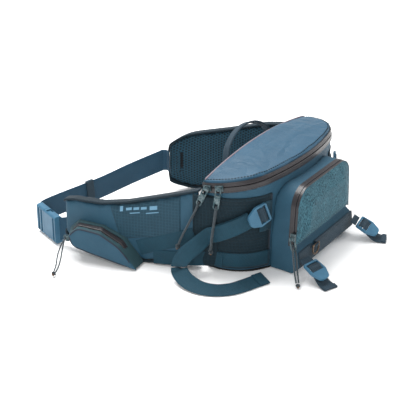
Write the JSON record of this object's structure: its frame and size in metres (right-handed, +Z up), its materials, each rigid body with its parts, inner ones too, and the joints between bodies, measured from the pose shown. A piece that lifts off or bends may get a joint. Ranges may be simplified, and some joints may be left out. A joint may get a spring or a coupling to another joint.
{
  "type": "waist pack",
  "caption": "Waist pack with hip wings and a side-release belt: zipped lid, zipped front pocket, compression straps, a wing pouch and lash straps.",
  "frame": {"origin": "on the standing surface, under the middle of the back panel's front face", "axes": "+Z up, +Y towards the wearer's back and the belt, -Y towards the front pocket, +X across the pack"},
  "size_m": [0.4481, 0.4867, 0.184],
  "materials": {
    "body_fabric": "coated woven nylon, satin",
    "lid_fabric": "smooth coated nylon, satin",
    "base_fabric": "heavy coated nylon",
    "plastic_sheet": "polyethylene sheet",
    "spacer_mesh": "open 3-D spacer mesh",
    "foam": "closed-cell foam",
    "ripstop": "diagonal ripstop, matte",
    "webbing": "flat woven polyester webbing",
    "dark_webbing": "grosgrain, matte",
    "zip_tape": "laminated water-resistant zip, semi-gloss",
    "heather_fabric": "melange woven fabric",
    "binding": "ribbed edge binding",
    "buckle_plastic": "moulded acetal, satin",
    "ring_metal": "dark painted wire",
    "slider_metal": "painted zinc, worn edges",
    "pull_cord": "braided cord with a knotted end"
  },
  "bodies": {
    "pack": {"compartment_shell": "body_fabric", "base_panel": "base_fabric", "zip_tape_lower": "zip_tape", "back_panel": "body_fabric", "frame_sheet": "plastic_sheet", "lumbar_pads": "spacer_mesh", "side_panels": "ripstop", "side_straps_lower": "webbing", "side_patches_upper": "webbing", "pocket_shell": "body_fabric", "pocket_tape_lower": "zip_tape", "belly_strap": "webbing", "lash_loops": "dark_webbing", "lash_tails": "dark_webbing", "compression_straps": "webbing", "compression_tails": "webbing"},
    "lid": {"lid_panel": "lid_fabric", "zip_tape_upper": "zip_tape"},
    "pocket_flap": {"pocket_face": "heather_fabric", "pocket_tape_upper": "zip_tape"},
    "wing_left": {"wing_left_mesh": "spacer_mesh", "wing_left_foam": "foam", "wing_left_fabric": "body_fabric", "wing_left_binding": "binding", "pouch_shell": "body_fabric", "pouch_zip": "zip_tape", "wing_left_strap": "webbing", "belt_stub": "webbing", "buckle_female": "buckle_plastic"},
    "wing_right": {"wing_right_mesh": "spacer_mesh", "wing_right_foam": "foam", "wing_right_fabric": "body_fabric", "wing_right_binding": "binding", "wing_right_strap": "webbing"},
    "belt_strap": {"belt_webbing": "webbing", "buckle_male": "buckle_plastic"},
    "belt_keeper": {"belt_keeper": "dark_webbing"},
    "latch_upper": {"buckle_latch_upper": "buckle_plastic"},
    "latch_lower": {"buckle_latch_lower": "buckle_plastic"},
    "side_lock_left": {"side_lock_left": "buckle_plastic"},
    "side_lock_right": {"side_lock_right": "buckle_plastic"},
    "lash_lock_left": {"lash_lock_left": "buckle_plastic"},
    "lash_lock_right": {"lash_lock_right": "buckle_plastic"},
    "dring": {"dring": "ring_metal"},
    "grab_handle": {"grab_handle": "dark_webbing"},
    "main_rear_slider": {"main_rear_slider": "slider_metal"},
    "main_rear_pull": {"main_rear_pull": "slider_metal", "main_rear_cord": "pull_cord", "main_rear_knot": "pull_cord"},
    "main_front_slider": {"main_front_slider": "slider_metal"},
    "main_front_pull": {"main_front_pull": "slider_metal", "main_front_cord": "pull_cord", "main_front_knot": "pull_cord"},
    "pocket_slider": {"pocket_slider": "slider_metal"},
    "pocket_pull": {"pocket_pull": "slider_metal", "pocket_cord": "pull_cord", "pocket_knot": "pull_cord"},
    "pouch_pull": {"pouch_slider": "slider_metal", "pouch_cord": "pull_cord", "pouch_knot": "pull_cord"}
  },
  "joints": [
    {"name": "lid_hinge", "type": "hinge", "parent": "pack", "child": "lid", "pos_m": [0, -0.0006, 0.16463], "axis": [-1, 0, 0], "range_deg": [0, 60]},
    {"name": "pocket_flap_hinge", "type": "hinge", "parent": "pack", "child": "pocket_flap", "pos_m": [0, -0.119, 0.047], "axis": [1, 0, 0], "range_deg": [0, 60]},
    {"name": "wing_right_swing", "type": "hinge", "parent": "pack", "child": "wing_right", "pos_m": [0.147, 0.003, 0], "axis": [0, 0, -1], "range_deg": [0, 16]},
    {"name": "wing_left_swing", "type": "hinge", "parent": "pack", "child": "wing_left", "pos_m": [-0.147, 0.003, 0], "axis": [0, 0, 1], "range_deg": [0, 4.85]},
    {"name": "belt_swing", "type": "hinge", "parent": "wing_right", "child": "belt_strap", "pos_m": [0.052, 0.208, 0], "axis": [0, 0, -1], "range_deg": [0, 80.5]},
    {"name": "keeper_slide", "type": "slide", "parent": "belt_strap", "child": "belt_keeper", "axis": [-0.9533, 0.2955, -0.062], "range_m": [0, 0.06]},
    {"name": "latch_upper_press", "type": "slide", "parent": "belt_strap", "child": "latch_upper", "axis": [0, 0, -1], "range_m": [0, 0.0025], "stiffness_N_per_m": 600},
    {"name": "latch_lower_press", "type": "slide", "parent": "belt_strap", "child": "latch_lower", "axis": [0, 0, 1], "range_m": [0, 0.0025], "stiffness_N_per_m": 600},
    {"name": "side_lock_left_tilt", "type": "hinge", "parent": "pack", "child": "side_lock_left", "pos_m": [-0.10433, -0.08152, 0.104], "axis": [-0.2671, 0.2087, 0.9408], "range_deg": [0, 25]},
    {"name": "lash_lock_left_tilt", "type": "hinge", "parent": "pack", "child": "lash_lock_left", "pos_m": [-0.08068, -0.14591, 0.02309], "axis": [-0.9879, 0.1391, 0.0679], "range_deg": [0, 25]},
    {"name": "side_lock_right_tilt", "type": "hinge", "parent": "pack", "child": "side_lock_right", "pos_m": [0.10433, -0.08152, 0.104], "axis": [-0.2671, -0.2087, -0.9408], "range_deg": [0, 25]},
    {"name": "lash_lock_right_tilt", "type": "hinge", "parent": "pack", "child": "lash_lock_right", "pos_m": [0.08068, -0.14591, 0.02309], "axis": [-0.9879, -0.1391, -0.0679], "range_deg": [0, 25]},
    {"name": "dring_swing", "type": "hinge", "parent": "pack", "child": "dring", "pos_m": [-0.043, -0.13425, 0.038], "axis": [-1, 0, 0], "range_deg": [0, 80]},
    {"name": "handle_fold", "type": "hinge", "parent": "pack", "child": "grab_handle", "pos_m": [0, 0.0125, 0.141], "axis": [-1, 0, 0], "range_deg": [0, 95]},
    {"name": "main_rear_slider_travel", "type": "hinge", "parent": "pack", "child": "main_rear_slider", "pos_m": [-0.072, -0.00789, 0.14034], "axis": [0, 0.1676, 0.9859], "range_deg": [0, 2.5]},
    {"name": "main_front_slider_travel", "type": "hinge", "parent": "pack", "child": "main_front_slider", "pos_m": [-0.072, -0.00789, 0.14034], "axis": [0, 0.1676, 0.9859], "range_deg": [0, 18]},
    {"name": "pocket_slider_travel", "type": "slide", "parent": "pack", "child": "pocket_slider", "axis": [0, 0, 1], "range_m": [0, 0.04]},
    {"name": "pouch_slider_travel", "type": "slide", "parent": "wing_left", "child": "pouch_pull", "axis": [0, 0, 1], "range_m": [0, 0.005]},
    {"name": "main_rear_pull_swing", "type": "hinge", "parent": "main_rear_slider", "child": "main_rear_pull", "pos_m": [-0.15399, -0.0093, 0.14057], "axis": [-0.0155, 0.902, 0.4314], "range_deg": [0, 70]},
    {"name": "main_front_pull_swing", "type": "hinge", "parent": "main_front_slider", "child": "main_front_pull", "pos_m": [-0.15121, -0.02881, 0.14366], "axis": [-0.2534, 0.9591, 0.1263], "range_deg": [0, 70]},
    {"name": "pocket_pull_swing", "type": "hinge", "parent": "pocket_slider", "child": "pocket_pull", "pos_m": [-0.09184, -0.1198, 0.064], "axis": [-0.1459, 0.9728, -0.18], "range_deg": [0, 70]}
  ],
  "couplings": [
    {"joint": "belt_swing", "follows": "wing_right_swing", "ratio": 5},
    {"joint": "wing_left_swing", "follows": "wing_right_swing", "ratio": 0.3}
  ]
}
